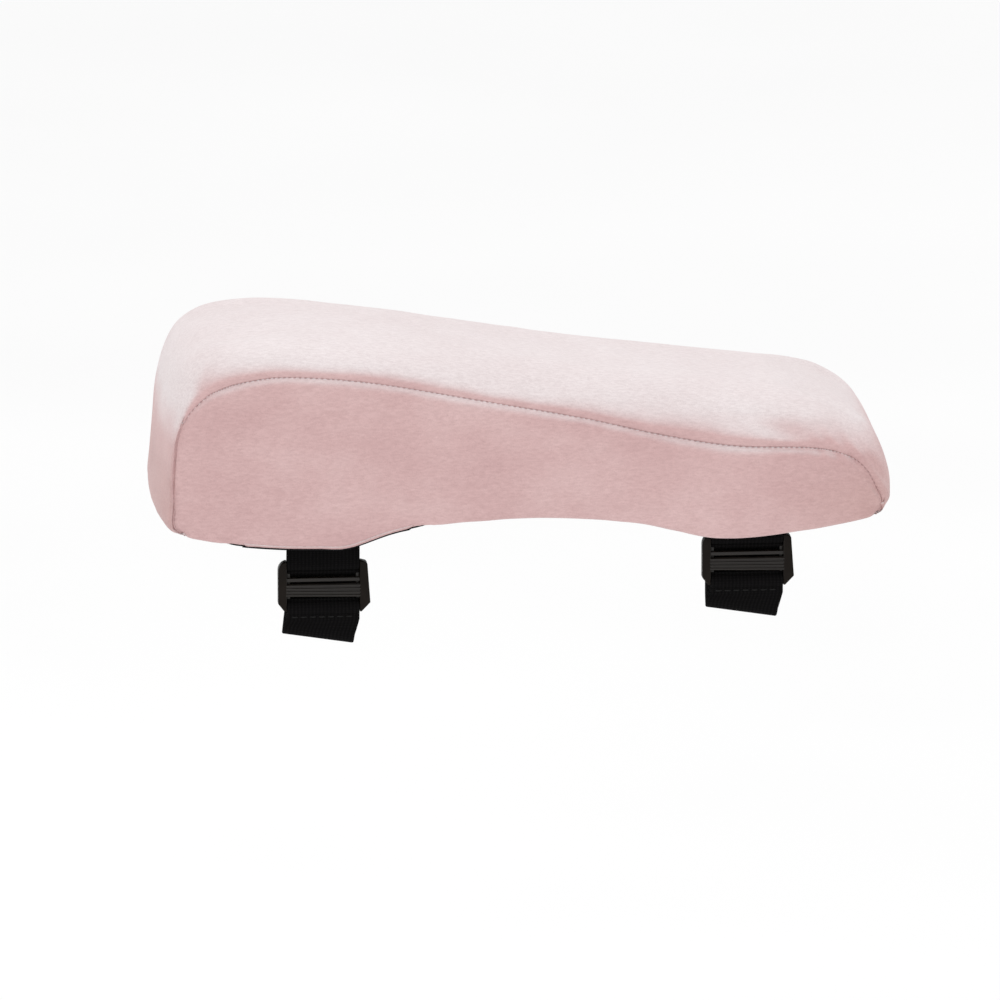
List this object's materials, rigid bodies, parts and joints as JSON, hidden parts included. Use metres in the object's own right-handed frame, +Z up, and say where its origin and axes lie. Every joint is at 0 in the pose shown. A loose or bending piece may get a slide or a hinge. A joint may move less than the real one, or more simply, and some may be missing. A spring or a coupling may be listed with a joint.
{
  "type": "chair armrest pad",
  "caption": "Contoured foam armrest cushion in a zipped velour cover, held under a chair arm by two elastic strap loops with slide buckles.",
  "frame": {"origin": "middle of the underside, on the plane of the rear cross strap's lower face, half way along and across the cushion", "axes": "+X along the cushion towards its low front end, +Y across it towards the zipped side, +Z up out of the armrest"},
  "size_m": [0.2516, 0.0952, 0.1075],
  "materials": {
    "foam": "open-cell memory foam, matt",
    "velour": "short-pile blush pink velour",
    "grip_fabric": "black knitted fabric with raised grip dots",
    "zip_tape": "woven polyester tape",
    "zip_teeth": "nylon coil",
    "zip_metal": "nickel-plated die casting",
    "webbing": "black ribbed elastic webbing",
    "black_plastic": "satin moulded acetal",
    "thread": "black polyester sewing thread"
  },
  "bodies": {
    "pad": {"foam_core": "foam", "cover_top_band": "velour", "cover_side_near": "velour", "cover_side_far": "velour", "cover_bottom": "grip_fabric", "zip_tape_lower": "zip_tape", "zip_teeth_lower": "zip_teeth", "zip_tape_upper": "zip_tape", "zip_teeth_upper": "zip_teeth", "zip_stop_rear": "zip_metal", "zip_stop_front": "zip_metal", "rear_cross_strap": "webbing", "rear_upper_strap": "webbing", "rear_far_leg": "webbing", "front_cross_strap": "webbing", "front_upper_strap": "webbing", "front_far_leg": "webbing"},
    "zip_slider": {"zip_slider": "zip_metal"},
    "zip_pull": {"zip_pull": "zip_metal"},
    "rear_loop": {"rear_loop_run": "webbing", "rear_near_leg": "webbing"},
    "rear_buckle": {"rear_buckle": "black_plastic", "rear_back_ply": "webbing", "rear_lower_fold": "webbing", "rear_fold_stitches": "thread"},
    "front_loop": {"front_loop_run": "webbing", "front_near_leg": "webbing"},
    "front_buckle": {"front_buckle": "black_plastic", "front_back_ply": "webbing", "front_lower_fold": "webbing", "front_fold_stitches": "thread"}
  },
  "joints": [
    {"name": "zip_slide", "type": "slide", "parent": "pad", "child": "zip_slider", "axis": [-1, 0, 0], "range_m": [0, 0.134]},
    {"name": "zip_pull_swing", "type": "hinge", "parent": "zip_slider", "child": "zip_pull", "pos_m": [0.066, 0.0482, 0.024], "axis": [0, 0, -1], "range_deg": [0, 172]},
    {"name": "rear_loop_stretch", "type": "slide", "parent": "pad", "child": "rear_loop", "axis": [0, 0, -1], "range_m": [0, 0.008], "stiffness_N_per_m": 250, "deforming": ["rear_upper_strap", "rear_far_leg"]},
    {"name": "rear_buckle_tilt", "type": "hinge", "parent": "rear_loop", "child": "rear_buckle", "pos_m": [-0.07, -0.0295, -0.0066], "axis": [-1, 0, 0], "range_deg": [-4, 18], "stiffness_Nm_per_rad": 0.02, "deforming": ["rear_near_leg"]},
    {"name": "front_loop_stretch", "type": "slide", "parent": "pad", "child": "front_loop", "axis": [0, 0, -1], "range_m": [0, 0.008], "stiffness_N_per_m": 250, "deforming": ["front_upper_strap", "front_far_leg"]},
    {"name": "front_buckle_tilt", "type": "hinge", "parent": "front_loop", "child": "front_buckle", "pos_m": [0.076, -0.0295, -0.0004], "axis": [-1, 0, 0], "range_deg": [-4, 18], "stiffness_Nm_per_rad": 0.02, "deforming": ["front_near_leg"]}
  ]
}
